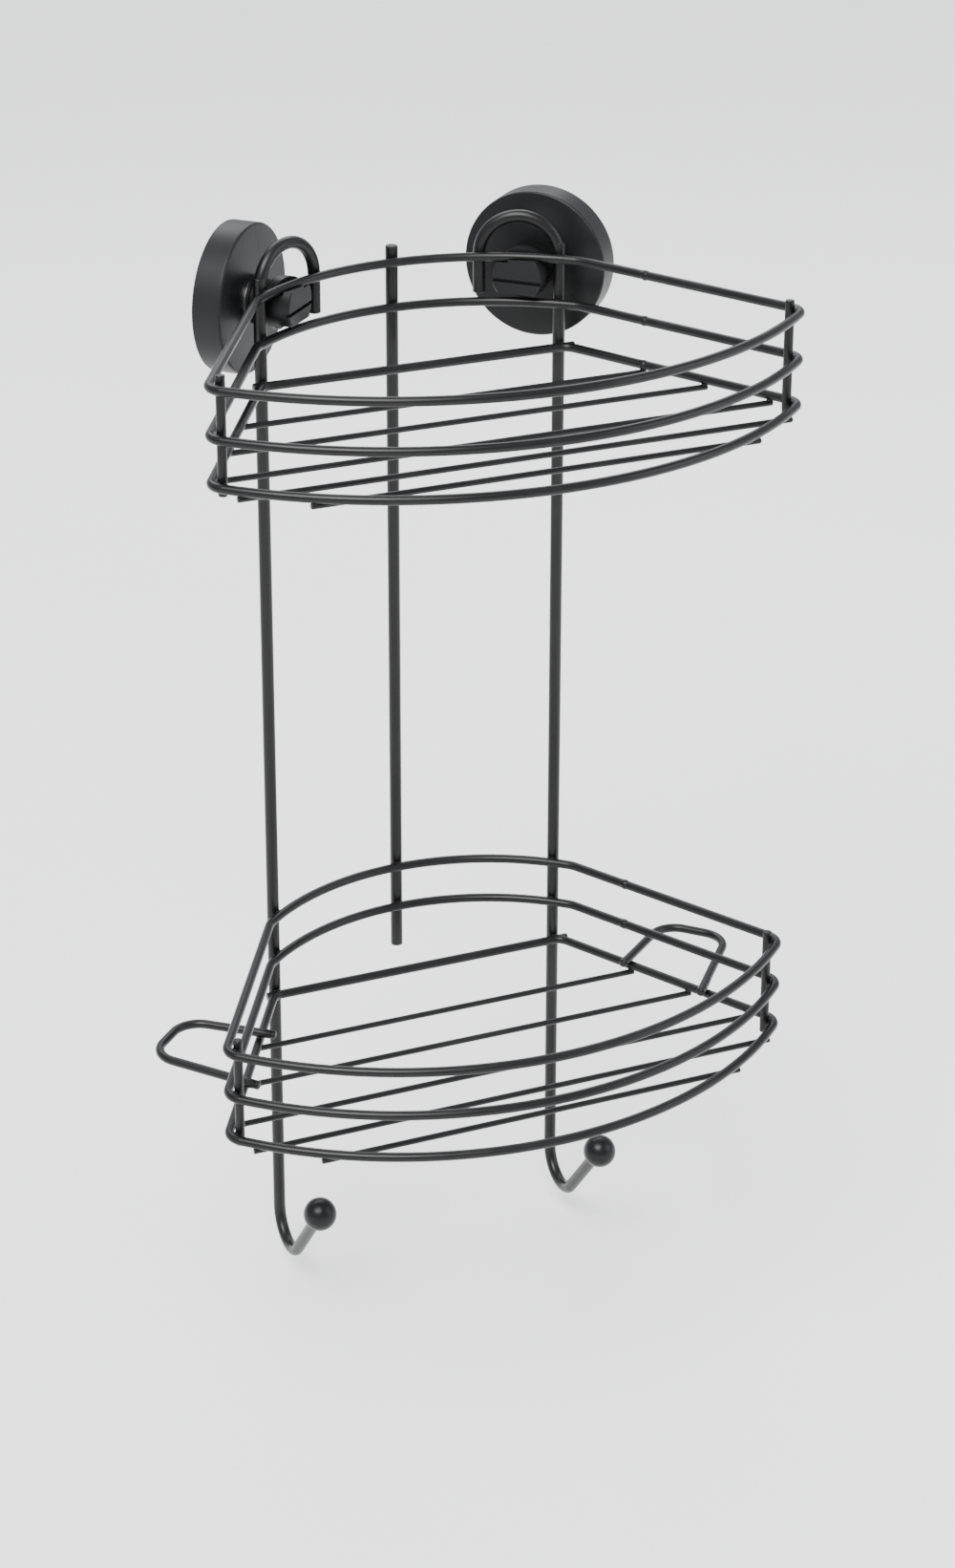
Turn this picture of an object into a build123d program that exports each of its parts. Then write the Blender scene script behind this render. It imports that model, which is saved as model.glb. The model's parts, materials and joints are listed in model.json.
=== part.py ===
from build123d import *
import os
from math import asin, cos, degrees, hypot, radians, sin, sqrt

# Corner shower caddy: a two-tier welded wire rack carried by two screw-down suction holders.
# Millimetres. Plan dimensions below are laid out from the vertical corner line of the room, level with
# the two holder axes. +Z is up, the room lies towards -Y, and the two walls run from the corner along
# (-1, -1) and (1, -1). Everything is left-right symmetric about X = 0. Each piece is saved in the part's
# frame, whose origin lies midway between the two suction faces.

# ---- wire gauges ----
UPRIGHT_R = 2.75
RING_R = 2.0
FLOOR_R = 1.3
BALL_R = 7.5
WELD_GAP = 0.05  # daylight left between wires that are welded where they touch

# ---- plan of a basket ring (centre line) ----
FRONT_Y = -214.9  # chord through the two front corners
FRONT_X = 130.5
FRONT_SAG = 55.0  # how far the front bows into the room
KINK_Y = -114.9
KINK_X = 75.0
BACK_SAG = 30.0  # how far the back bows into the corner
CORNER_BEND = 8.0
KINK_BEND = 12.0
STRAIGHT_KINK_BEND = 6.0  # on the bottom ring, whose back is straight

# ---- heights ----
TOP_RING_Z = 8.5
MIDDLE_DROP = 20.5
BOTTOM_DROP = 40.5
TIER_DROP = 294.0
TIERS = {"upper": 0.0, "lower": -TIER_DROP}

# ---- posts and floor ----
POST_STUB = 1.4  # how far a corner post stands above the top ring
FLOOR_YS = (-145.0, -173.0, -202.0, -224.0, -242.0)
FLOOR_OVERHANG = 1.0  # past the ring's centre line

# ---- uprights ----
UPRIGHT_ALONG = 11.0  # arc length from the kink to a side upright
ARCH_SPAN = 35.5
ARCH_TOP_Z = 26.3
ARCH_LEG_END_Z = -9.0
CENTRE_TOP_Z = 14.5
HOOK_BEND = 14.0
HOOK_BOTTOM_Z = -454.0
HOOK_LEAN = 40.0  # degrees between the rising leg and the vertical
HOOK_LEG = 48.7

# ---- wall spacers: distance from the wall, distance along the wall from the corner ----
SPACER_TIPS = (170.0, 202.0)
SPACER_ROOTS = (165.5, 207.0)
SPACER_POKE = 8.0  # stub inside the ring
SPACER_BEND = 12.0

# ---- wall holder, along its axis from the wall ----
CUP_R = 30.2
CUP_LIP = 1.0
CUP_CONE_R = 29.4
CUP_TOP_R = 13.0
CUP_HEIGHT = 8.5
PLATE_R = 11.5
PLATE_BACK = 3.0
PLATE_FRONT = 5.2
STUD_R = 4.0
STUD_FRONT = 32.5
THREAD_PITCH = 1.5
THREAD_DEPTH = 0.45
COVER_R = 33.0
COVER_RIM = 0.6
COVER_FACE = 13.5
COVER_WALL = 2.4
COVER_BORE_R = 6.0
COVER_EDGE = 1.0
PRESS_RIB_R = 24.0  # the rib inside the cover that presses on the cup
PRESS_RIB_T = 2.0
PRESS_RIB_START = 4.0
WASHER_R = 9.0
WASHER_BORE_R = 4.35
WASHER_T = 0.8
NUT_START = COVER_FACE + WASHER_T + 0.3
NUT_RINGS = ((10.6, 1.5), (9.4, 0.7), (10.6, 1.5), (9.2, 3.1))  # radius and length of each step
NUT_BORE_R = STUD_R + 0.06
NUT_FLATS = 12
HEAD_BACK = 24.0
HEAD_R = 11.7
HEAD_FRONT = 36.0
HEAD_FLAT_START = 27.0  # the flat under the head clears the middle ring
HEAD_FLAT_Z = -7.8
HEAD_LIP_Z = 7.8  # top of the lip that holds the hanging ring
SADDLE_GAP = 0.15  # under the hanging ring
SADDLE_FLOOR_Z = TOP_RING_Z - RING_R - SADDLE_GAP
SADDLE_HALF_WIDTH = RING_R + 0.4
COIN_SLOT_WIDTH = 1.6
COIN_SLOT_DEPTH = 1.6
COIN_SLOT_Z = -2.0
EDGE = 0.5

os.makedirs("parts", exist_ok=True)


# ---- derived plan geometry ----
BACK_RADIUS = (KINK_X**2 + BACK_SAG**2) / (2 * BACK_SAG)
BACK_CENTRE_Y = KINK_Y + BACK_SAG - BACK_RADIUS
FRONT_RADIUS = (FRONT_X**2 + FRONT_SAG**2) / (2 * FRONT_SAG)
FRONT_CENTRE_Y = FRONT_Y - FRONT_SAG + FRONT_RADIUS
UPRIGHT_OFFSET = RING_R + UPRIGHT_R + WELD_GAP
KINK_TURN = degrees(asin(KINK_X / BACK_RADIUS))
UPRIGHT_TURN = KINK_TURN - degrees(UPRIGHT_ALONG / BACK_RADIUS)
LEG_TURN = UPRIGHT_TURN - degrees(ARCH_SPAN / (BACK_RADIUS + UPRIGHT_OFFSET))
HOLDER_TURN = (UPRIGHT_TURN + LEG_TURN) / 2


def side_x(y):
    """Where the straight right side of a ring stands at a given depth."""
    return KINK_X + (FRONT_X - KINK_X) * (KINK_Y - y) / (KINK_Y - FRONT_Y)


def back_arc_point(turn, offset=0.0, z=0.0):
    """A point of the left back arc, turned from the corner's direction, pushed outwards by offset."""
    reach = BACK_RADIUS + offset
    return Vector(-reach * sin(radians(turn)), BACK_CENTRE_Y + reach * cos(radians(turn)), z)


FOOT = back_arc_point(UPRIGHT_TURN, UPRIGHT_OFFSET)  # plan place of the left upright
STRAIGHT_BACK_Y = FOOT.Y - UPRIGHT_OFFSET
WALL_NORMAL = Vector(1, -1, 0).normalized()  # out of the left wall
WALL_ALONG = Vector(-1, -1, 0).normalized()  # along the left wall, away from the corner
RING_OVER_HOLDER = back_arc_point(HOLDER_TURN)
HOLDER_ON_WALL = RING_OVER_HOLDER - WALL_NORMAL * RING_OVER_HOLDER.dot(WALL_NORMAL)
HOLDER_PLANE = Plane(origin=HOLDER_ON_WALL, x_dir=WALL_ALONG, z_dir=WALL_NORMAL)


def save(piece, name):
    """Move one finished piece to the part's frame, label it and write it under its node name."""
    piece = piece.moved(Location((0, -HOLDER_ON_WALL.Y, 0)))
    piece.label = name
    export_step(piece, f"parts/{name}.step")


def ring_outline(straight_back):
    """A ring's centre line at Z = 0, with its bends rounded."""
    back_x, back_y, back_bend = KINK_X, KINK_Y, KINK_BEND
    if straight_back:
        back_y = STRAIGHT_BACK_Y
        back_x = side_x(back_y)
        back_bend = STRAIGHT_KINK_BEND
    right_front = (FRONT_X, FRONT_Y)
    left_front = (-FRONT_X, FRONT_Y)
    right_kink = (back_x, back_y)
    left_kink = (-back_x, back_y)
    with BuildSketch() as area:
        with BuildLine():
            ThreePointArc(left_front, (0, FRONT_Y - FRONT_SAG), right_front)
            Line(right_front, right_kink)
            if straight_back:
                Line(right_kink, left_kink)
            else:
                ThreePointArc(right_kink, (0, KINK_Y + BACK_SAG), left_kink)
            Line(left_kink, left_front)
        make_face()
        fillet(area.vertices().group_by(Axis.Y)[0], radius=CORNER_BEND)
        fillet(area.vertices().group_by(Axis.Y)[-1], radius=back_bend)
    return area.sketch.faces()[0].outer_wire()


def round_wire(path, radius):
    """A round wire of the given radius along a path."""
    with BuildPart() as bar:
        with BuildSketch(Plane(origin=path @ 0, z_dir=path % 0)):
            Circle(radius)
        sweep(path=path)
    return bar.part


def floor_wire_between(reach, y, z):
    """A straight floor wire from side to side, its cut ends rounded over by the coating."""
    with BuildPart() as bar:
        with BuildSketch(Plane.YZ.offset(-reach)):
            with Locations((y, z)):
                Circle(FLOOR_R)
        extrude(amount=2 * reach)
        fillet(bar.edges().filter_by(GeomType.CIRCLE), radius=EDGE)
    return bar.part


CURVED_RING = ring_outline(straight_back=False)
STRAIGHT_RING = ring_outline(straight_back=True)


# ---- baskets ----
def half_width(y):
    """Half the width of a ring's centre line at a given depth."""
    if y >= FRONT_Y:
        return side_x(y)
    return sqrt(FRONT_RADIUS**2 - (y - FRONT_CENTRE_Y) ** 2)


def post_place():
    """Where the right corner post stands: inside the bend of the front corner."""
    bend = min(
        CURVED_RING.edges().filter_by(GeomType.CIRCLE),
        key=lambda edge: hypot((edge @ 0.5).X - FRONT_X, (edge @ 0.5).Y - FRONT_Y),
    )
    outer = bend @ 0.5
    inward = (bend.arc_center - outer).normalized()
    return outer + inward * (2 * RING_R + WELD_GAP)


POST = post_place()

for tier, drop in TIERS.items():
    top_z = TOP_RING_Z + drop
    bottom_z = top_z - BOTTOM_DROP
    rings = {
        "top_ring": (CURVED_RING, top_z),
        "middle_ring": (CURVED_RING, top_z - MIDDLE_DROP),
        "bottom_ring": (STRAIGHT_RING, bottom_z),
    }
    for ring_name, (outline, ring_z) in rings.items():
        save(round_wire(outline.moved(Location((0, 0, ring_z))), RING_R), f"{tier}_{ring_name}")

    for side, sign in (("left", -1), ("right", 1)):
        with BuildPart() as post:
            with BuildSketch(Plane.XY.offset(bottom_z - RING_R)):
                with Locations((sign * POST.X, POST.Y)):
                    Circle(RING_R)
            extrude(amount=BOTTOM_DROP + RING_R + POST_STUB)
            chamfer(post.edges().group_by(Axis.Z)[-1], length=EDGE)
        save(post.part, f"{tier}_{side}_post")

    floor_z = bottom_z - RING_R - FLOOR_R - WELD_GAP
    for number, wire_y in enumerate(FLOOR_YS, start=1):
        reach = half_width(wire_y) + FLOOR_OVERHANG
        save(floor_wire_between(reach, wire_y, floor_z), f"{tier}_floor_wire_{number}")


# ---- uprights ----
arch_end = back_arc_point(LEG_TURN, UPRIGHT_OFFSET)
arch_across = (arch_end - FOOT).normalized()
ARCH_R = (arch_end - FOOT).length / 2
ARCH_SPRING_Z = ARCH_TOP_Z - ARCH_R
HOOK_CENTRE_Z = HOOK_BOTTOM_Z + HOOK_BEND
LEAN = radians(HOOK_LEAN)


def hook_point(forward, z):
    """A point of the J hook's plane, which faces the room."""
    return FOOT + Vector(0, -forward, z)


def arch_point(across, z):
    return FOOT + arch_across * across + Vector(0, 0, z)


hook_turn_end = hook_point(HOOK_BEND * (1 + cos(LEAN)), HOOK_CENTRE_Z - HOOK_BEND * sin(LEAN))
hook_tip = hook_turn_end + Vector(0, -sin(LEAN), cos(LEAN)) * HOOK_LEG

with BuildPart() as left_upright:
    with BuildLine() as upright_path:
        Line(arch_point(2 * ARCH_R, ARCH_LEG_END_Z), arch_point(2 * ARCH_R, ARCH_SPRING_Z))
        ThreePointArc(
            arch_point(2 * ARCH_R, ARCH_SPRING_Z),
            arch_point(ARCH_R, ARCH_TOP_Z),
            arch_point(0, ARCH_SPRING_Z),
        )
        Line(arch_point(0, ARCH_SPRING_Z), hook_point(0, HOOK_CENTRE_Z))
        ThreePointArc(
            hook_point(0, HOOK_CENTRE_Z),
            hook_point(HOOK_BEND, HOOK_BOTTOM_Z),
            hook_turn_end,
        )
        Line(hook_turn_end, hook_tip)
    with BuildSketch(Plane(origin=upright_path.line @ 0, z_dir=upright_path.line % 0)):
        Circle(UPRIGHT_R)
    sweep(path=upright_path.line)
    free_end = left_upright.edges().filter_by(GeomType.CIRCLE).sort_by_distance(upright_path.line @ 0)[0]
    fillet(free_end, radius=EDGE)
save(left_upright.part, "left_upright")

with BuildPart() as right_upright:
    mirror(left_upright.part, about=Plane.YZ)
save(right_upright.part, "right_upright")

# Each ball is drilled to its middle to take the hook's end.
SOCKET_PLANE = Plane(origin=hook_turn_end, z_dir=(0, -sin(LEAN), cos(LEAN)))
with BuildPart() as left_ball:
    with Locations(hook_tip):
        Sphere(BALL_R)
    with BuildSketch(SOCKET_PLANE):
        Circle(UPRIGHT_R)
    extrude(amount=HOOK_LEG, mode=Mode.SUBTRACT)
save(left_ball.part, "left_hook_ball")

with BuildPart() as right_ball:
    mirror(left_ball.part, about=Plane.YZ)
save(right_ball.part, "right_hook_ball")

centre_place = back_arc_point(0, UPRIGHT_OFFSET)
CENTRE_END_Z = TOP_RING_Z - TIER_DROP - BOTTOM_DROP - RING_R
with BuildPart() as centre_upright:
    with BuildSketch(Plane.XY.offset(CENTRE_END_Z)):
        with Locations((centre_place.X, centre_place.Y)):
            Circle(UPRIGHT_R)
    extrude(amount=CENTRE_TOP_Z - CENTRE_END_Z)
    chamfer(centre_upright.edges().group_by(Axis.Z)[-1], length=EDGE)
save(centre_upright.part, "centre_upright")


# ---- wall spacers ----
SPACER_Z = TOP_RING_Z - TIER_DROP - BOTTOM_DROP + 2 * RING_R + WELD_GAP


def wall_point(from_wall, along):
    """A point given by its distance from the left wall and its distance from the corner."""
    return WALL_NORMAL * from_wall + WALL_ALONG * along + Vector(0, 0, SPACER_Z)


def side_from_wall(along):
    """How far the ring's left side stands from the wall, at a distance along the wall."""
    front = Vector(-FRONT_X, FRONT_Y)
    kink = Vector(-KINK_X, KINK_Y)
    share = (along - kink.dot(WALL_ALONG)) / (front - kink).dot(WALL_ALONG)
    return (kink + (front - kink) * share).dot(WALL_NORMAL)


with BuildPart() as left_spacer:
    with BuildLine() as spacer_path:
        FilletPolyline(
            wall_point(side_from_wall(SPACER_ROOTS[0]) + SPACER_POKE, SPACER_ROOTS[0]),
            wall_point(RING_R, SPACER_TIPS[0]),
            wall_point(RING_R, SPACER_TIPS[1]),
            wall_point(side_from_wall(SPACER_ROOTS[1]) + SPACER_POKE, SPACER_ROOTS[1]),
            radius=SPACER_BEND,
        )
    with BuildSketch(Plane(origin=spacer_path.line @ 0, z_dir=spacer_path.line % 0)):
        Circle(RING_R)
    sweep(path=spacer_path.line)
    for end in (0, 1):
        rims = left_spacer.edges().filter_by(GeomType.CIRCLE)
        fillet(rims.sort_by_distance(spacer_path.line @ end)[0], radius=2 * EDGE)
save(left_spacer.part, "left_wall_spacer")

with BuildPart() as right_spacer:
    mirror(left_spacer.part, about=Plane.YZ)
save(right_spacer.part, "right_wall_spacer")


# ---- wall holders, made on the left wall and mirrored ----
def turned(profile_points):
    """A part turned about the holder's axis from (radius, distance from the wall) corners."""
    with BuildPart() as turning:
        with BuildSketch(Plane.XZ):
            with BuildLine():
                Polyline(*profile_points, close=True)
            make_face()
        revolve(axis=Axis.Z)
    return turning.part


def place(piece):
    """Carry a piece turned about Z to the left holder's axis."""
    return piece.moved(HOLDER_PLANE.location)


cup_blank = turned(
    [
        (0, 0),
        (CUP_R, 0),
        (CUP_R, CUP_LIP / 2),
        (CUP_CONE_R, CUP_LIP),
        (CUP_TOP_R, CUP_HEIGHT),
        (0, CUP_HEIGHT),
    ]
)
with BuildPart() as suction_cup:
    add(cup_blank)
    with BuildSketch(Plane.XY.offset(PLATE_BACK)):
        Circle(PLATE_R)
    extrude(amount=PLATE_FRONT - PLATE_BACK, mode=Mode.SUBTRACT)
    with BuildSketch(Plane.XY.offset(PLATE_FRONT)):
        Circle(STUD_R)
    extrude(amount=CUP_HEIGHT - PLATE_FRONT, mode=Mode.SUBTRACT)

anchor_plate = turned([(0, PLATE_BACK), (PLATE_R, PLATE_BACK), (PLATE_R, PLATE_FRONT), (0, PLATE_FRONT)])

with BuildPart() as stud:
    with BuildSketch(Plane.XY.offset(PLATE_FRONT)):
        Circle(STUD_R)
    extrude(amount=STUD_FRONT - PLATE_FRONT)
    chamfer(stud.edges().group_by(Axis.Z)[-1], length=THREAD_DEPTH)
    with BuildSketch(Plane.XZ):
        groove_z = CUP_HEIGHT + THREAD_PITCH
        while groove_z < HEAD_BACK - THREAD_PITCH:
            with BuildLine():
                Polyline(
                    (STUD_R + EDGE, groove_z - THREAD_PITCH / 2),
                    (STUD_R - THREAD_DEPTH, groove_z),
                    (STUD_R + EDGE, groove_z + THREAD_PITCH / 2),
                    close=True,
                )
            make_face()
            groove_z += THREAD_PITCH
    revolve(axis=Axis.Z, mode=Mode.SUBTRACT)

cover = turned(
    [
        (COVER_BORE_R, COVER_FACE - COVER_WALL),
        (PRESS_RIB_R, COVER_FACE - COVER_WALL),
        (PRESS_RIB_R, PRESS_RIB_START),
        (PRESS_RIB_R + PRESS_RIB_T, PRESS_RIB_START),
        (PRESS_RIB_R + PRESS_RIB_T, COVER_FACE - COVER_WALL),
        (COVER_R - COVER_WALL - 1, COVER_FACE - COVER_WALL),
        (COVER_R - COVER_WALL, COVER_FACE - COVER_WALL - 1),
        (COVER_R - COVER_WALL, COVER_RIM),
        (COVER_R, COVER_RIM),
        (COVER_R, COVER_FACE),
        (COVER_BORE_R, COVER_FACE),
    ]
)
with BuildPart() as pressure_cover:
    add(cover)
    fillet(pressure_cover.edges().group_by(Axis.Z)[-1].sort_by(SortBy.RADIUS)[-1], radius=COVER_EDGE)

washer = turned(
    [
        (WASHER_BORE_R, COVER_FACE),
        (WASHER_R, COVER_FACE),
        (WASHER_R, COVER_FACE + WASHER_T),
        (WASHER_BORE_R, COVER_FACE + WASHER_T),
    ]
)

with BuildPart() as lock_nut:
    step_z = NUT_START
    for step_r, step_length in NUT_RINGS:
        with BuildSketch(Plane.XY.offset(step_z)):
            Circle(step_r)
        extrude(amount=step_length)
        step_z += step_length
    barrel_r, barrel_length = NUT_RINGS[-1]
    chamfer(lock_nut.edges().group_by(Axis.Z)[-1], length=EDGE)
    with BuildSketch(Plane.XY.offset(step_z - barrel_length)):
        with PolarLocations(barrel_r + 0.9, NUT_FLATS):
            Circle(1.5)
    extrude(amount=barrel_length, mode=Mode.SUBTRACT)
    with BuildSketch(Plane.XY.offset(NUT_START)):
        Circle(NUT_BORE_R)
    extrude(amount=step_z - NUT_START, mode=Mode.SUBTRACT)

head_blank = turned(
    [
        (STUD_R, HEAD_BACK),
        (HEAD_R - EDGE, HEAD_BACK),
        (HEAD_R, HEAD_BACK + EDGE),
        (HEAD_R, HEAD_FRONT - EDGE),
        (HEAD_R - EDGE, HEAD_FRONT),
        (0, HEAD_FRONT),
        (0, STUD_FRONT),
        (STUD_R, STUD_FRONT),
    ]
)
SADDLE_DIRECTION = Vector(cos(radians(HOLDER_TURN)), sin(radians(HOLDER_TURN)), 0)
SADDLE_PLANE = Plane(
    origin=RING_OVER_HOLDER + Vector(0, 0, SADDLE_FLOOR_Z), x_dir=SADDLE_DIRECTION, z_dir=(0, 0, 1)
)
LIP_PLANE = Plane(
    origin=RING_OVER_HOLDER + Vector(0, 0, HEAD_LIP_Z), x_dir=SADDLE_DIRECTION, z_dir=(0, 0, 1)
)
FLAT_PLANE = Plane(
    origin=HOLDER_ON_WALL + WALL_NORMAL * HEAD_FLAT_START + Vector(0, 0, HEAD_FLAT_Z),
    x_dir=WALL_ALONG,
    z_dir=WALL_NORMAL,
)
COIN_PLANE = Plane(
    origin=HOLDER_ON_WALL + WALL_NORMAL * HEAD_FRONT + Vector(0, 0, COIN_SLOT_Z),
    x_dir=WALL_ALONG,
    z_dir=-WALL_NORMAL,
)
FLAT_SIDE = Align.MAX if FLAT_PLANE.y_dir.Z > 0 else Align.MIN  # whichever lies below the flat
with BuildPart() as holder_head:
    add(place(head_blank))
    with BuildSketch(SADDLE_PLANE):
        Rectangle(4 * HEAD_R, 2 * SADDLE_HALF_WIDTH)
    extrude(amount=HEAD_R, mode=Mode.SUBTRACT)
    with BuildSketch(LIP_PLANE):
        with Locations((0, -HEAD_R)):
            Rectangle(4 * HEAD_R, 2 * HEAD_R)
    extrude(amount=HEAD_R, mode=Mode.SUBTRACT)
    with BuildSketch(FLAT_PLANE):
        Rectangle(4 * HEAD_R, 2 * HEAD_R, align=(Align.CENTER, FLAT_SIDE))
    extrude(amount=HEAD_FRONT, mode=Mode.SUBTRACT)
    with BuildSketch(COIN_PLANE):
        Rectangle(4 * HEAD_R, COIN_SLOT_WIDTH)
    extrude(amount=COIN_SLOT_DEPTH, mode=Mode.SUBTRACT)

HOLDER_PIECES = {
    "suction_cup": place(suction_cup.part),
    "anchor_plate": place(anchor_plate),
    "threaded_stud": place(stud.part),
    "pressure_cover": place(pressure_cover.part),
    "thrust_washer": place(washer),
    "lock_nut": place(lock_nut.part),
    "holder_head": holder_head.part,
}
for piece_name, left_piece in HOLDER_PIECES.items():
    save(left_piece, f"left_{piece_name}")
    with BuildPart() as right_piece:
        mirror(left_piece, about=Plane.YZ)
    save(right_piece.part, f"right_{piece_name}")
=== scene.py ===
import json
import math

import bpy
from mathutils import Matrix, Vector, noise


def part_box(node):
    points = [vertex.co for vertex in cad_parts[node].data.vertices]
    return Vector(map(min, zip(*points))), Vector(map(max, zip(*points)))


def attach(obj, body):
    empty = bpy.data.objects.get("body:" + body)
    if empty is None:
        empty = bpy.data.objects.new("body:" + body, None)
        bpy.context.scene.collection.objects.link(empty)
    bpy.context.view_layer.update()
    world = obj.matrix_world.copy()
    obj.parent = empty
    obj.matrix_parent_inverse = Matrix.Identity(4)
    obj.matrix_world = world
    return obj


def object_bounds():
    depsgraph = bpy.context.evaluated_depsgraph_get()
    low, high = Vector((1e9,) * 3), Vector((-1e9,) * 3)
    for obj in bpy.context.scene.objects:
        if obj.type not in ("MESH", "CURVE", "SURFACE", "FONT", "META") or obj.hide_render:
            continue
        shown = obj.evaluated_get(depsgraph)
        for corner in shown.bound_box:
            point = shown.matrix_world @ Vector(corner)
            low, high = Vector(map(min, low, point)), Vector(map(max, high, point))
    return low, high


# Corner shower caddy: materials, welds, floor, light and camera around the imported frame.
# Lengths in the model part are millimetres of the frame, and each mesh is scaled to metres when it is made.

MM = 0.001
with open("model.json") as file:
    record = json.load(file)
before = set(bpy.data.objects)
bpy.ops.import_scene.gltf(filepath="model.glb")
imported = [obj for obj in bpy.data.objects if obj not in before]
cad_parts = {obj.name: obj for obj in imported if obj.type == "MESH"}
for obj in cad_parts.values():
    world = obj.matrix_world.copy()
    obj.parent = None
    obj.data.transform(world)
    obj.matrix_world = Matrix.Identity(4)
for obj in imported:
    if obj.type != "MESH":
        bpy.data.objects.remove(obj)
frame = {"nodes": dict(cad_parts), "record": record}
nodes = frame["nodes"]
cad_low, cad_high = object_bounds()

# ---- sizes shared with the CAD model ----
UPRIGHT_R, RING_R, FLOOR_R = 2.75, 2.0, 1.3
WELD_GAP = 0.05  # between two wires that are welded
# The middle of the two suction faces is the origin, and it stands this far in front of the corner line.
HOLDER_REACH = 75.4369
FRONT_X, FRONT_Y, FRONT_SAG = 130.5, -214.9 + HOLDER_REACH, 55.0
KINK_X, KINK_Y, BACK_SAG = 75.0, -114.9 + HOLDER_REACH, 30.0
CORNER_BEND = 8.0
TIER_DROP = 294.0
TOP_Z, MIDDLE_Z, BOTTOM_Z = 8.5, -12.0, -32.0
FRONT_RADIUS = (FRONT_X**2 + FRONT_SAG**2) / (2 * FRONT_SAG)
FRONT_CENTRE = Vector((0, FRONT_Y - FRONT_SAG + FRONT_RADIUS))
BACK_RADIUS = (KINK_X**2 + BACK_SAG**2) / (2 * BACK_SAG)
BACK_CENTRE = Vector((0, KINK_Y + BACK_SAG - BACK_RADIUS))
SIDE_DIR = Vector((FRONT_X - KINK_X, FRONT_Y - KINK_Y)).normalized()


# ---- materials ----
class Shader:
    """A principled material built from nodes, with short helpers for its textures."""

    def __init__(self, name):
        self.material = bpy.data.materials.new(name)
        self.material.use_nodes = True
        self.tree = self.material.node_tree
        self.bsdf = self.tree.nodes["Principled BSDF"]
        self.place = self.node("ShaderNodeTexCoord").outputs["Object"]

    def node(self, kind, **settings):
        made = self.tree.nodes.new(kind)
        for key, value in settings.items():
            setattr(made, key, value)
        return made

    def link(self, source, target):
        self.tree.links.new(source, target)

    def value(self, socket, number):
        self.bsdf.inputs[socket].default_value = number

    def noise(self, scale, detail=3.0, rough=0.5, vector=None):
        made = self.node("ShaderNodeTexNoise")
        made.inputs["Scale"].default_value = scale
        made.inputs["Detail"].default_value = detail
        made.inputs["Roughness"].default_value = rough
        self.link(vector or self.place, made.inputs["Vector"])
        return made.outputs["Fac"]

    def remap(self, source, low, high, to_low, to_high):
        made = self.node("ShaderNodeMapRange")
        sockets = ("From Min", "From Max", "To Min", "To Max")
        for socket, number in zip(sockets, (low, high, to_low, to_high)):
            made.inputs[socket].default_value = number
        self.link(source, made.inputs["Value"])
        return made.outputs["Result"]

    def maths(self, operation, first, second):
        made = self.node("ShaderNodeMath", operation=operation)
        for socket, item in zip(made.inputs, (first, second)):
            if isinstance(item, (int, float)):
                socket.default_value = item
            else:
                self.link(item, socket)
        return made.outputs[0]

    def ramp(self, source, stops):
        made = self.node("ShaderNodeValToRGB")
        elements = made.color_ramp.elements
        while len(elements) < len(stops):
            elements.new(0.5)
        for element, (position, colour) in zip(elements, stops):
            element.position = position
            element.color = (*colour, 1)
        self.link(source, made.inputs["Fac"])
        return made.outputs["Color"]

    def bump(self, layers):
        """Bumps stacked from (height source, strength, distance in millimetres)."""
        normal = None
        for height, strength, distance in layers:
            made = self.node("ShaderNodeBump")
            made.inputs["Strength"].default_value = strength
            made.inputs["Distance"].default_value = distance * MM
            self.link(height, made.inputs["Height"])
            if normal is not None:
                self.link(normal, made.inputs["Normal"])
            normal = made.outputs["Normal"]
        self.link(normal, self.bsdf.inputs["Normal"])


def powder_coat():
    """Satin black powder coat: orange peel, a fine sparkle of grain and faint dried water marks."""
    s = Shader("satin_black_powder_coat")
    peel = s.noise(620, 2.0, 0.45)
    grain = s.noise(3400, 2.0, 0.6)
    marks = s.noise(38, 4.0, 0.62)
    spots = s.ramp(marks, [(0.0, (0.0026, 0.0026, 0.0028)), (0.55, (0.0034, 0.0034, 0.0036)),
                           (0.66, (0.0056, 0.0057, 0.0058)), (1.0, (0.0038, 0.0038, 0.0040))])
    mix = s.node("ShaderNodeMix", data_type="RGBA", blend_type="MULTIPLY")
    mix.inputs["Factor"].default_value = 0.35
    s.link(spots, mix.inputs[6])
    s.link(s.ramp(grain, [(0.3, (0.62, 0.62, 0.62)), (0.72, (1.35, 1.35, 1.35))]), mix.inputs[7])
    s.link(mix.outputs[2], s.bsdf.inputs["Base Color"])
    rough = s.maths("ADD", s.remap(marks, 0.35, 0.7, 0.30, 0.38), s.remap(grain, 0.3, 0.7, -0.03, 0.04))
    s.link(rough, s.bsdf.inputs["Roughness"])
    s.value("Specular IOR Level", 0.26)
    s.value("IOR", 1.5)
    s.bump([(peel, 0.30, 0.05), (grain, 0.22, 0.012)])
    return s.material


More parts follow.
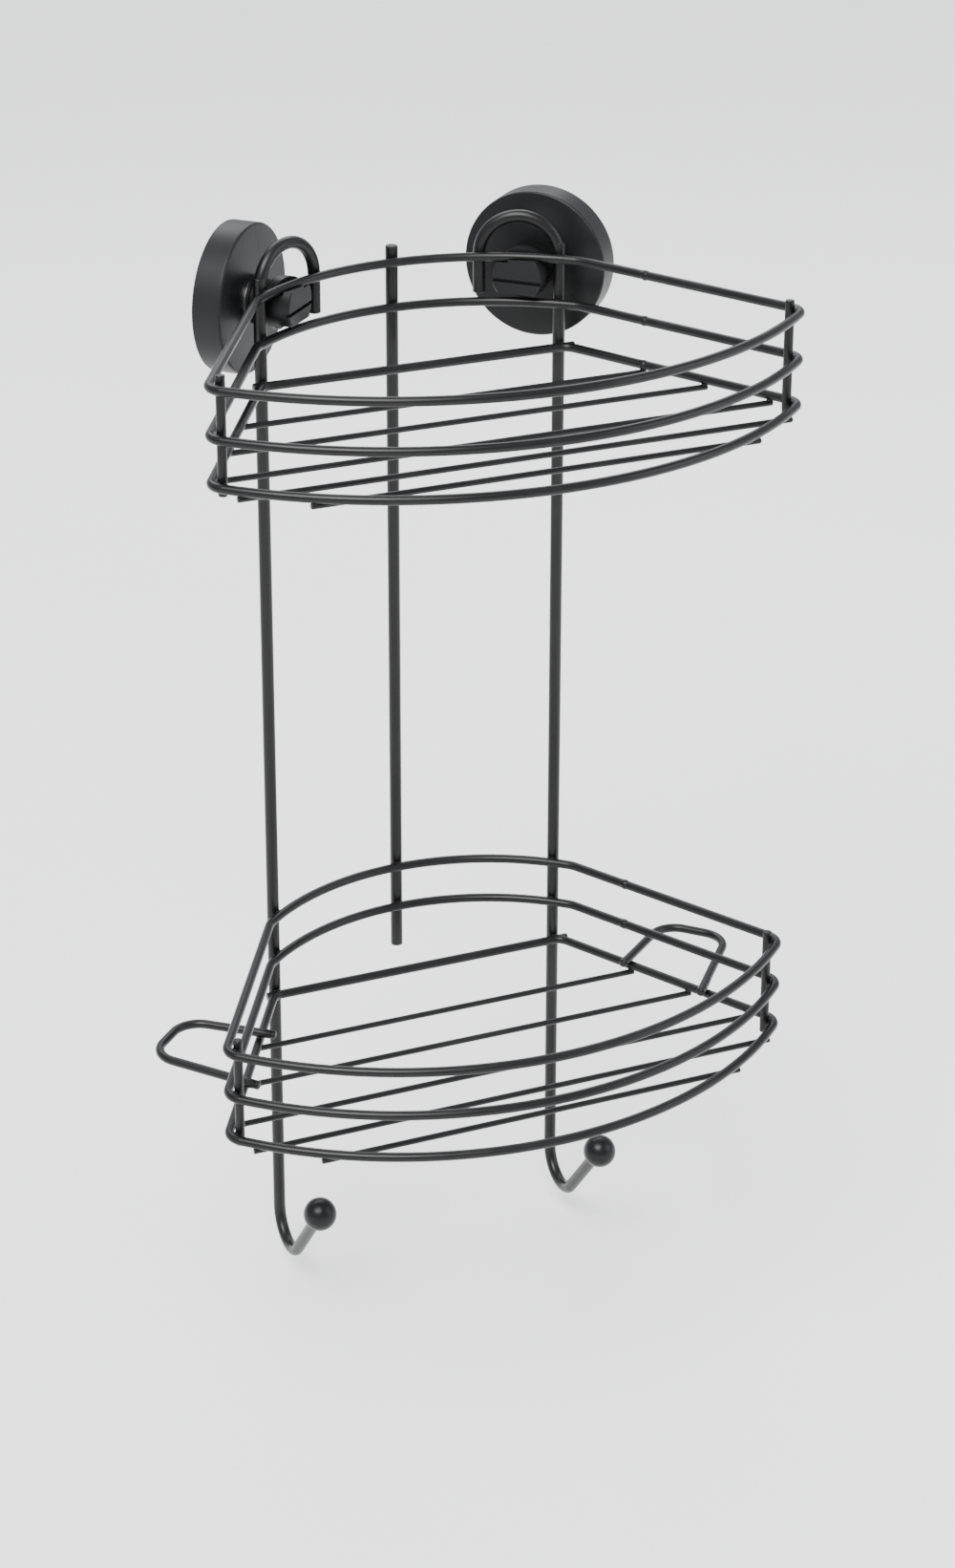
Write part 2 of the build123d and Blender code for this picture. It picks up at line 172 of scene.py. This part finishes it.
def moulded_plastic(name, tone, rough_low, rough_high, grain_scale):
    """Satin moulded plastic: spark-eroded grain, slow flow marks and light handling scuffs."""
    s = Shader(name)
    flow = s.noise(22, 3.0, 0.5)
    grain = s.noise(grain_scale, 2.0, 0.55)
    scuff_vector = s.node("ShaderNodeMapping")
    scuff_vector.inputs["Scale"].default_value = (900, 900, 70)
    scuff_vector.inputs["Rotation"].default_value = (0.5, 0.3, 0.8)
    s.link(s.place, scuff_vector.inputs["Vector"])
    scuffs = s.noise(1.0, 2.0, 0.5, scuff_vector.outputs["Vector"])
    low = tuple(c * 0.82 for c in tone)
    high = tuple(c * 1.22 for c in tone)
    s.link(s.ramp(flow, [(0.3, low), (0.7, high)]), s.bsdf.inputs["Base Color"])
    rough = s.maths("ADD", s.remap(flow, 0.3, 0.7, rough_low, rough_high),
                    s.remap(scuffs, 0.55, 0.75, 0.0, 0.07))
    s.link(rough, s.bsdf.inputs["Roughness"])
    s.value("IOR", 1.49)
    s.value("Specular IOR Level", 0.22)
    s.bump([(grain, 0.25, 0.02), (scuffs, 0.06, 0.01)])
    return s.material


def cup_rubber():
    """Soft rubber: slightly glossy, with a fine grain and a little bloom."""
    s = Shader("suction_rubber")
    bloom = s.noise(60, 4.0, 0.6)
    fine = s.noise(1500, 2.0, 0.5)
    s.link(s.ramp(bloom, [(0.3, (0.030, 0.030, 0.032)), (0.62, (0.042, 0.042, 0.045)),
                          (0.8, (0.060, 0.060, 0.063))]), s.bsdf.inputs["Base Color"])
    s.link(s.remap(bloom, 0.3, 0.75, 0.30, 0.52), s.bsdf.inputs["Roughness"])
    s.value("IOR", 1.52)
    s.bump([(bloom, 0.12, 0.08), (fine, 0.2, 0.02)])
    return s.material


def plated_steel():
    """Bright zinc-plated steel with lathe lines and dull patches."""
    s = Shader("plated_steel")
    patch = s.noise(90, 3.0, 0.55)
    lines = s.noise(2600, 2.0, 0.4)
    s.link(s.ramp(patch, [(0.3, (0.46, 0.47, 0.48)), (0.7, (0.62, 0.62, 0.61))]),
           s.bsdf.inputs["Base Color"])
    s.link(s.remap(patch, 0.3, 0.7, 0.24, 0.42), s.bsdf.inputs["Roughness"])
    s.value("Metallic", 1.0)
    s.bump([(lines, 0.25, 0.01)])
    return s.material


def floor_paint():
    """Plain pale matt floor."""
    s = Shader("pale_floor")
    cloud = s.noise(3.0, 3.0, 0.5)
    s.link(s.ramp(cloud, [(0.3, (0.905, 0.905, 0.90)), (0.7, (0.925, 0.925, 0.92))]),
           s.bsdf.inputs["Base Color"])
    s.value("Roughness", 0.8)
    s.bump([(s.noise(180, 2.0, 0.5), 0.05, 0.2)])
    return s.material


COAT = powder_coat()
MATERIALS = {
    "powder_coated_wire": COAT,
    "ball_plastic": moulded_plastic("hook_ball_plastic", (0.0042, 0.0043, 0.0046), 0.27, 0.36, 1500),
    "cover_plastic": moulded_plastic("cover_plastic", (0.0060, 0.0062, 0.0067), 0.36, 0.46, 1900),
    "nut_plastic": moulded_plastic("nut_plastic", (0.0042, 0.0043, 0.0046), 0.38, 0.48, 1700),
    "head_plastic": moulded_plastic("head_plastic", (0.0052, 0.0054, 0.0058), 0.38, 0.48, 1900),
    "plate_plastic": moulded_plastic("anchor_plate_plastic", (0.045, 0.045, 0.048), 0.45, 0.58, 1400),
    "cup_rubber": cup_rubber(),
    "stud_steel": plated_steel(),
    "washer_steel": plated_steel(),
}
for part in frame["record"]["subparts"]:
    mesh = nodes[part["node"]].data
    mesh.materials.clear()
    mesh.materials.append(MATERIALS[part["material_slot"]])


# ---- mesh helpers, in millimetres ----
def tube(path, radius, sides=28):
    """Vertices and faces of a closed round bar along a list of points."""
    path = [Vector(p) for p in path]
    rings = []
    for i, point in enumerate(path):
        ahead = path[min(i + 1, len(path) - 1)] - path[max(i - 1, 0)]
        ahead.normalize()
        across = ahead.orthogonal() if i == 0 else across - ahead * across.dot(ahead)
        across.normalize()
        other = ahead.cross(across)
        rings.append([point + (across * math.cos(t) + other * math.sin(t)) * radius
                      for t in (2 * math.pi * k / sides for k in range(sides))])
    verts = [v for ring in rings for v in ring]
    faces = []
    for i in range(len(rings) - 1):
        for k in range(sides):
            a, b = i * sides + k, i * sides + (k + 1) % sides
            faces.append((a, b, b + sides, a + sides))
    faces.append(tuple(reversed(range(sides))))
    faces.append(tuple(range(len(verts) - sides, len(verts))))
    return verts, faces


def mesh_object(name, verts, faces):
    mesh = bpy.data.meshes.new(name)
    mesh.from_pydata([tuple(v) for v in verts], [], faces)
    mesh.validate()
    obj = bpy.data.objects.new(name, mesh)
    bpy.context.scene.collection.objects.link(obj)
    return obj


def blended(bars, voxel=0.30, rounds=10, seed=0.0):
    """Bars fused into one skin whose inside corners fill like a small weld. Returns verts and faces."""
    verts, faces = [], []
    for path, radius in bars:
        v, f = tube(path, radius)
        faces += [tuple(i + len(verts) for i in face) for face in f]
        verts += v
    obj = mesh_object("weld_blank", verts, faces)
    skin = obj.modifiers.new("skin", "REMESH")
    skin.mode = "VOXEL"
    skin.voxel_size = voxel
    soft = obj.modifiers.new("soft", "SMOOTH")
    soft.factor = 0.6
    soft.iterations = rounds
    bpy.context.view_layer.update()
    done = bpy.data.meshes.new_from_object(obj.evaluated_get(bpy.context.evaluated_depsgraph_get()))
    bpy.data.objects.remove(obj)
    out = []
    for vertex, normal in zip(done.vertices, done.vertex_normals):
        ripple = noise.noise(vertex.co * 0.9 + Vector((seed, 0, 0))) * 0.05
        out.append(vertex.co + normal.vector * (ripple - 0.01))
    result = out, [tuple(p.vertices) for p in done.polygons]
    bpy.data.meshes.remove(done)
    return result


class Pile:
    """Collects copies of small meshes and makes them one object."""

    def __init__(self):
        self.verts, self.faces = [], []

    def add(self, shape, matrix):
        verts, faces = shape
        base = len(self.verts)
        flip = matrix.determinant() < 0
        self.verts += [matrix @ v for v in verts]
        self.faces += [tuple(i + base for i in (reversed(f) if flip else f)) for f in faces]

    def make(self, name, material, body):
        obj = mesh_object(name, [v * MM for v in self.verts], self.faces)
        obj.data.shade_smooth()
        obj.data.materials.append(material)
        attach(obj, body)
        return obj


def at(point, along=Vector((1, 0, 0)), up=Vector((0, 0, 1))):
    """A frame whose X runs along a wire and whose Z points to the wire it is welded to."""
    x = Vector(along).normalized()
    z = (Vector(up) - x * Vector(up).dot(x)).normalized()
    y = z.cross(x)
    return Matrix.Translation(Vector(point)) @ Matrix((x, y, z)).transposed().to_4x4()


MIRROR = Matrix.Diagonal((-1, 1, 1, 1))
TIERS = (0.0, -TIER_DROP)

# ---- welds of the rack ----
welds = Pile()


def both_sides(shape, matrix):
    for drop in TIERS:
        lowered = Matrix.Translation((0, 0, drop)) @ matrix
        welds.add(shape, lowered)
        welds.add(shape, MIRROR @ lowered)


# Upright and ring: they cross at right angles, the ring's axis along local X, the upright's along Y.
upright_gap = RING_R + UPRIGHT_R + WELD_GAP
upright_weld = blended([
    ([(-5.5, 0, 0), (0, 0, 0), (5.5, 0, 0)], RING_R),
    ([(0, -6.5, upright_gap), (0, 0, upright_gap), (0, 6.5, upright_gap)], UPRIGHT_R),
])
post_low, post_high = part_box("upper_right_post")
POST = Vector(((post_low.x + post_high.x) / 2, (post_low.y + post_high.y) / 2)) / MM
KINK_TURN = math.asin(KINK_X / BACK_RADIUS)
UPRIGHT_FROM_KINK = 11.0  # along the back bow
UPRIGHT_TURN = KINK_TURN - UPRIGHT_FROM_KINK / BACK_RADIUS
side_out = Vector((math.sin(UPRIGHT_TURN), math.cos(UPRIGHT_TURN), 0))
for ring_z in (TOP_Z, MIDDLE_Z):
    centre = Vector((BACK_CENTRE.x, BACK_CENTRE.y, ring_z))
    both_sides(upright_weld, at(centre + side_out * BACK_RADIUS, (side_out.y, -side_out.x, 0), side_out))
    for drop in TIERS:
        welds.add(upright_weld, at(centre + Vector((0, BACK_RADIUS, drop)), (1, 0, 0), (0, 1, 0)))
upright_place = Vector((BACK_CENTRE.x, BACK_CENTRE.y, 0)) + side_out * (BACK_RADIUS + upright_gap)
both_sides(upright_weld,
           at((upright_place.x, upright_place.y - upright_gap, BOTTOM_Z), (1, 0, 0), (0, 1, 0)))

# Corner post and ring: the ring bends round the post.
corner = Vector((FRONT_X, FRONT_Y))
side_normal = Vector((SIDE_DIR.y, -SIDE_DIR.x))  # towards the inside of the basket
step = 0.0
bend_centre = None
while bend_centre is None:
    trial = corner - SIDE_DIR * step + side_normal * CORNER_BEND
    if (trial - FRONT_CENTRE).length <= FRONT_RADIUS - CORNER_BEND:
        bend_centre = trial
    step += 0.02
post_out = (POST - bend_centre).normalized()
post_gap = 2 * RING_R + WELD_GAP
bend_path = [(CORNER_BEND * math.sin(t), 0, CORNER_BEND - CORNER_BEND * math.cos(t))
             for t in (math.radians(a) for a in range(-36, 37, 6))]
post_weld = blended([(bend_path, RING_R),
                     ([(0, -5, post_gap), (0, 0, post_gap), (0, 5, post_gap)], RING_R)], seed=3.1)
post_in = Vector((-post_out.x, -post_out.y, 0))
for ring_z in (TOP_Z, MIDDLE_Z, BOTTOM_Z):
    middle = Vector((POST.x, POST.y, ring_z)) - post_in * post_gap
    both_sides(post_weld, at(middle, (post_in.y, -post_in.x, 0), post_in))

# Floor wires under the bottom ring.
side_end = bend_centre - side_normal * CORNER_BEND
front_end = FRONT_CENTRE + (bend_centre - FRONT_CENTRE).normalized() * FRONT_RADIUS
floor_gap = RING_R + FLOOR_R + WELD_GAP


def ring_at(y):
    """Where the right half of a ring crosses a depth, and which way it runs there."""
    if y > side_end.y:
        share = (KINK_Y - y) / (KINK_Y - FRONT_Y)
        return KINK_X + (FRONT_X - KINK_X) * share, SIDE_DIR, None
    if y > front_end.y:
        reach = math.sqrt(CORNER_BEND**2 - (y - bend_centre.y) ** 2)
        radial = Vector((reach, y - bend_centre.y)).normalized()
        return bend_centre.x + reach, Vector((radial.y, -radial.x)), (bend_centre, CORNER_BEND)
    reach = math.sqrt(FRONT_RADIUS**2 - (y - FRONT_CENTRE.y) ** 2)
    radial = Vector((reach, y - FRONT_CENTRE.y)).normalized()
    return reach, Vector((radial.y, -radial.x)), (FRONT_CENTRE, FRONT_RADIUS)


for number in range(1, 6):
    low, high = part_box(f"upper_floor_wire_{number}")
    wire_y = (low.y + high.y) / 2 / MM
    x, run, bend = ring_at(wire_y)
    if bend is None:
        ring_path = [(run.x * t, run.y * t, 0) for t in (-6, 0, 6)]
    else:
        middle, radius = bend
        start = math.atan2(wire_y - middle.y, x - middle.x)
        ring_path = [(middle.x + radius * math.cos(start + t / radius) - x,
                      middle.y + radius * math.sin(start + t / radius) - wire_y, 0)
                     for t in (-6, -4, -2, 0, 2, 4, 6)]
    end = high.x / MM - x - 0.25
    floor_weld = blended([(ring_path, RING_R), ([(-6.5, 0, -floor_gap), (end, 0, -floor_gap)], FLOOR_R)],
                         voxel=0.26, rounds=7, seed=number * 1.7)
    both_sides(floor_weld, Matrix.Translation((x, wire_y, BOTTOM_Z)))

# Wall spacers on the lower basket's bottom ring.
WALL_NORMAL = Vector((-1, -1)).normalized()  # out of the right wall
WALL_ALONG = Vector((1, -1)).normalized()
kink = Vector((KINK_X, KINK_Y))


def from_wall(out, along):
    return WALL_NORMAL * out + WALL_ALONG * along + Vector((0, HOLDER_REACH))


for tip_along, root in ((170.0, (44.8, 165.5)), (202.0, (54.0, 207.0))):
    tip_point, root_point = from_wall(RING_R, tip_along), from_wall(*root)
    run = (root_point - tip_point).normalized()
    across = Vector((-SIDE_DIR.y, SIDE_DIR.x))
    meet = tip_point + run * ((kink - tip_point).dot(across) / run.dot(across))
    spacer_weld = blended([
        ([(SIDE_DIR.x * t, SIDE_DIR.y * t, 0) for t in (-5.5, 0, 5.5)], RING_R),
        ([(run.x * t, run.y * t, post_gap) for t in (-5.5, 0, 5.5)], RING_R),
    ], seed=tip_along)
    place = Matrix.Translation((meet.x, meet.y, BOTTOM_Z - TIER_DROP))
    welds.add(spacer_weld, place)
    welds.add(spacer_weld, MIRROR @ place)

welds.make("rack_weld_fillets", COAT, "rack")


# ---- butt welds where each ring's wire is closed on its right side ----
def collar(radius, height, half_length, seed, steps=14, sides=40):
    """A low uneven bead round a wire along local X."""
    verts, faces = [], []
    for i in range(steps + 1):
        x = (2 * i / steps - 1) * half_length
        swell = math.cos(x / half_length * math.pi / 2) ** 1.6 * height
        for k in range(sides):
            t = 2 * math.pi * k / sides
            uneven = 1 + 0.45 * noise.noise(Vector((x * 0.6 + seed, math.cos(t) * 1.4, math.sin(t) * 1.4)))
            r = radius - 0.03 + swell * uneven
            verts.append(Vector((x, r * math.cos(t), r * math.sin(t))))
    for i in range(steps):
        for k in range(sides):
            a, b = i * sides + k, i * sides + (k + 1) % sides
            faces.append((a, a + sides, b + sides, b))
    return verts, faces


butts = Pile()
BUTT_PLACES = {"upper": 0.30, "lower": 0.26}
for tier, drop in zip(("upper", "lower"), TIERS):
    for index, ring_z in enumerate((TOP_Z, MIDDLE_Z, BOTTOM_Z)):
        spot = kink + (corner - kink) * BUTT_PLACES[tier]
        bead = collar(RING_R, 0.30, 1.9, seed=index * 5.3 + drop)
        butts.add(bead, at((spot.x, spot.y, ring_z + drop), (SIDE_DIR.x, SIDE_DIR.y, 0)))
butts.make("ring_butt_welds", COAT, "rack")


# ---- floor, light and camera ----
def floor_sheet(z, half):
    corners = [(-half, -half, z), (half, -half, z), (half, half, z), (-half, half, z)]
    obj = mesh_object("studio_floor", corners, [(0, 1, 2, 3)])
    obj.data.materials.append(floor_paint())


FLOOR_DROP, FLOOR_HALF = 0.012, 6.0  # metres: below the hooks, and half its side
floor_sheet(cad_low.z - FLOOR_DROP, FLOOR_HALF)

world = bpy.data.worlds.new("studio")
world.use_nodes = True
world.node_tree.nodes["Background"].inputs["Color"].default_value = (0.93, 0.95, 1.0, 1)
world.node_tree.nodes["Background"].inputs["Strength"].default_value = 1.0
bpy.context.scene.world = world


def softbox(name, place, aim, size, power, colour=(1, 1, 1)):
    light = bpy.data.lights.new(name, "AREA")
    light.shape = "RECTANGLE"
    light.size, light.size_y = size
    light.energy = power
    light.color = colour
    obj = bpy.data.objects.new(name, light)
    obj.location = place
    obj.rotation_euler = (Vector(aim) - Vector(place)).to_track_quat("-Z", "Y").to_euler()
    bpy.context.scene.collection.objects.link(obj)


AIM = (0.0, -0.065, -0.2)
# A wide soft sun lights the whole floor evenly and leaves a soft streak along each wire.
sun = bpy.data.lights.new("broad_key", "SUN")
sun.energy = 3.6
sun.angle = math.radians(38)
broad_key = bpy.data.objects.new("broad_key", sun)
broad_key.rotation_euler = Vector((0.42, 0.34, -0.84)).to_track_quat("-Z", "Y").to_euler()
bpy.context.scene.collection.objects.link(broad_key)
softbox("key", (-0.9, -1.3, 1.5), AIM, (1.3, 1.0), 46, (1.0, 0.985, 0.96))
softbox("fill", (1.5, -1.1, 0.6), AIM, (1.2, 1.4), 16, (0.95, 0.98, 1.0))
softbox("rim", (0.3, 1.2, 1.1), AIM, (1.6, 0.8), 18)

# The camera looks down from the front left, turned this far from straight on.
YAW, PITCH, ROLL = math.radians(21.37), math.radians(20.18), math.radians(-0.46)
forward = Vector((math.sin(YAW) * math.cos(PITCH), math.cos(YAW) * math.cos(PITCH), -math.sin(PITCH)))
level = Vector((math.cos(YAW), -math.sin(YAW), 0))
upward = level.cross(forward)
right = level * math.cos(ROLL) + upward * math.sin(ROLL)
up = upward * math.cos(ROLL) - level * math.sin(ROLL)
camera = bpy.data.cameras.new("photo_angle")
camera.sensor_fit = "VERTICAL"
camera.sensor_height = 36
camera.lens = 75.38295
camera.shift_x = 0.0557856
camera.shift_y = -0.2076736
camera.clip_start = 0.05
viewer = bpy.data.objects.new("photo_angle", camera)
viewer.matrix_world = Matrix.Translation((-0.5030, -1.28646, 0.4219)) @ Matrix(
    (right, up, -forward)).transposed().to_4x4()
bpy.context.scene.collection.objects.link(viewer)
bpy.context.scene.camera = viewer
